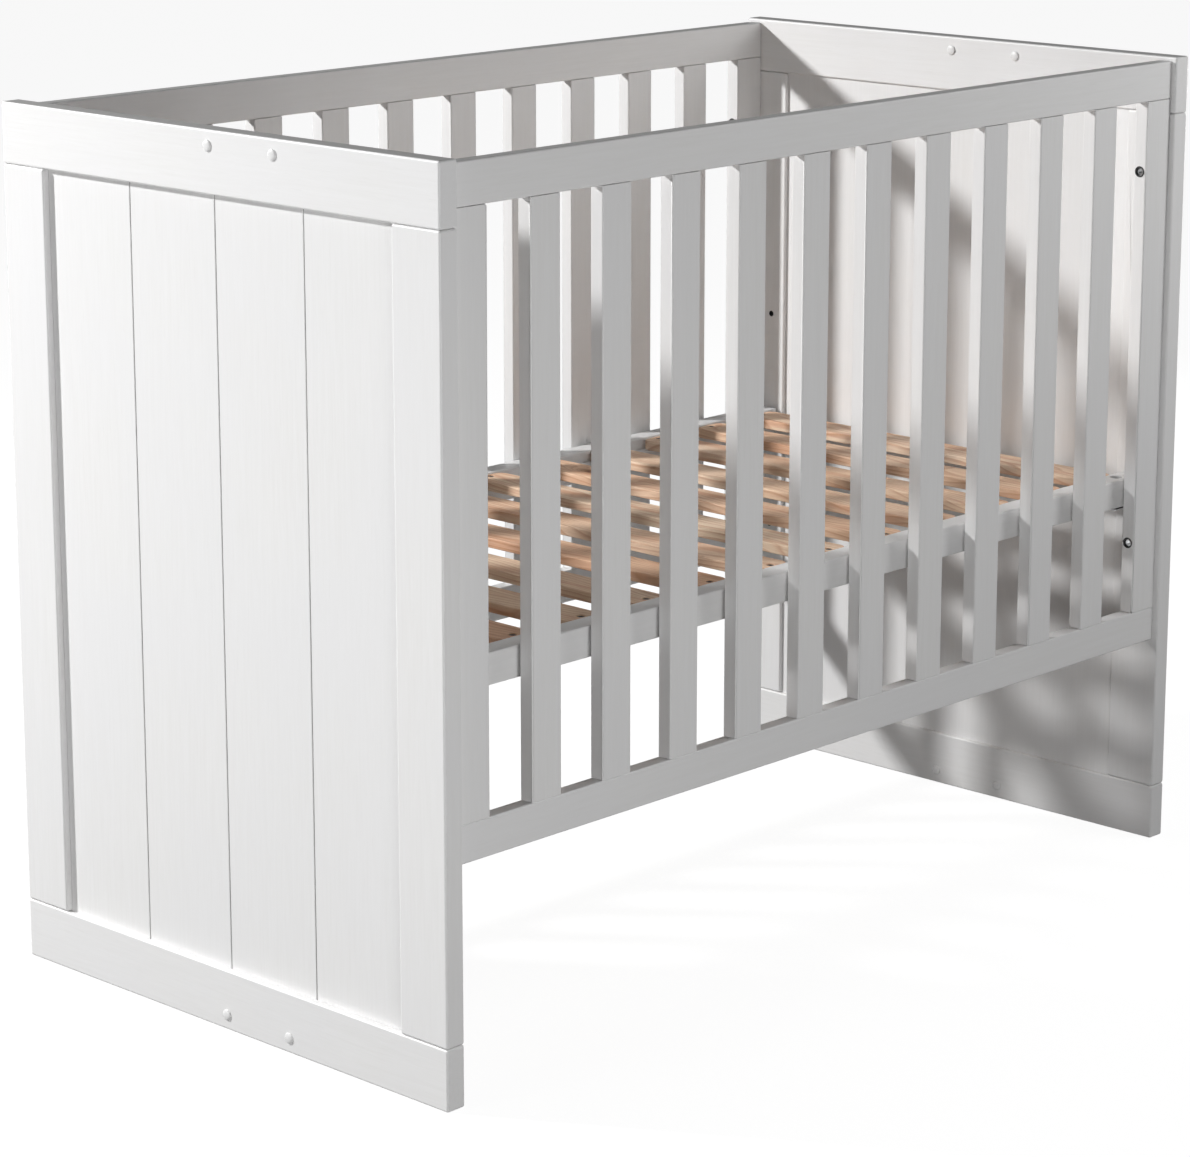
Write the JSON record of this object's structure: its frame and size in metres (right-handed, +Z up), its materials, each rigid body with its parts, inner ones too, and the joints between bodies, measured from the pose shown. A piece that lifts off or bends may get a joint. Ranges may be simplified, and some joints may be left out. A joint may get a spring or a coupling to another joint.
{
  "type": "baby crib",
  "caption": "White painted baby crib with closed framed end panels, open slatted sides and a slatted pine base that bolts at different heights.",
  "frame": {"origin": "on the floor below the middle of the crib", "axes": "+X along the length towards the right-hand end panel, +Y towards the back side, +Z up"},
  "size_m": [1.256, 0.684, 0.981],
  "materials": {
    "painted_wood": "satin white lacquer over solid wood and board",
    "pine": "untreated sawn pine with grain and small knots",
    "bracket_steel": "dark zinc plate",
    "bolt_steel": "zinc-plated socket heads",
    "bolt_sleeve": "matt black",
    "cover_cap": "satin white"
  },
  "bodies": {
    "frame": {"left_end_top_rail": "painted_wood", "left_end_bottom_rail": "painted_wood", "left_end_front_stile": "painted_wood", "left_end_back_stile": "painted_wood", "left_end_infill_panel": "painted_wood", "right_end_top_rail": "painted_wood", "right_end_bottom_rail": "painted_wood", "right_end_front_stile": "painted_wood", "right_end_back_stile": "painted_wood", "right_end_infill_panel": "painted_wood", "front_side_top_rail": "painted_wood", "front_side_bottom_rail": "painted_wood", "front_side_left_stile": "painted_wood", "front_side_right_stile": "painted_wood", "front_side_slat_1": "painted_wood", "front_side_slat_2": "painted_wood", "front_side_slat_3": "painted_wood", "front_side_slat_4": "painted_wood", "front_side_slat_5": "painted_wood", "front_side_slat_6": "painted_wood", "front_side_slat_7": "painted_wood", "front_side_slat_8": "painted_wood", "front_side_slat_9": "painted_wood", "front_side_slat_10": "painted_wood", "back_side_top_rail": "painted_wood", "back_side_bottom_rail": "painted_wood", "back_side_left_stile": "painted_wood", "back_side_right_stile": "painted_wood", "back_side_slat_1": "painted_wood", "back_side_slat_2": "painted_wood", "back_side_slat_3": "painted_wood", "back_side_slat_4": "painted_wood", "back_side_slat_5": "painted_wood", "back_side_slat_6": "painted_wood", "back_side_slat_7": "painted_wood", "back_side_slat_8": "painted_wood", "back_side_slat_9": "painted_wood", "back_side_slat_10": "painted_wood"},
    "base": {"base_front_rail": "painted_wood", "base_back_rail": "painted_wood", "base_front_batten": "painted_wood", "base_back_batten": "painted_wood", "base_left_end_rail": "painted_wood", "base_right_end_rail": "painted_wood", "base_slat_1": "pine", "base_slat_2": "pine", "base_slat_3": "pine", "base_slat_4": "pine", "base_slat_5": "pine", "base_slat_6": "pine", "base_slat_7": "pine", "base_slat_8": "pine", "base_slat_9": "pine", "base_slat_10": "pine", "base_slat_11": "pine", "base_slat_12": "pine", "base_bracket_left_front": "bracket_steel", "base_bracket_left_back": "bracket_steel", "base_bracket_right_front": "bracket_steel", "base_bracket_right_back": "bracket_steel"}
  },
  "joints": [
    {"name": "base_height", "type": "slide", "parent": "frame", "child": "base", "axis": [0, 0, 1], "range_m": [-0.144, 0.144]}
  ]
}
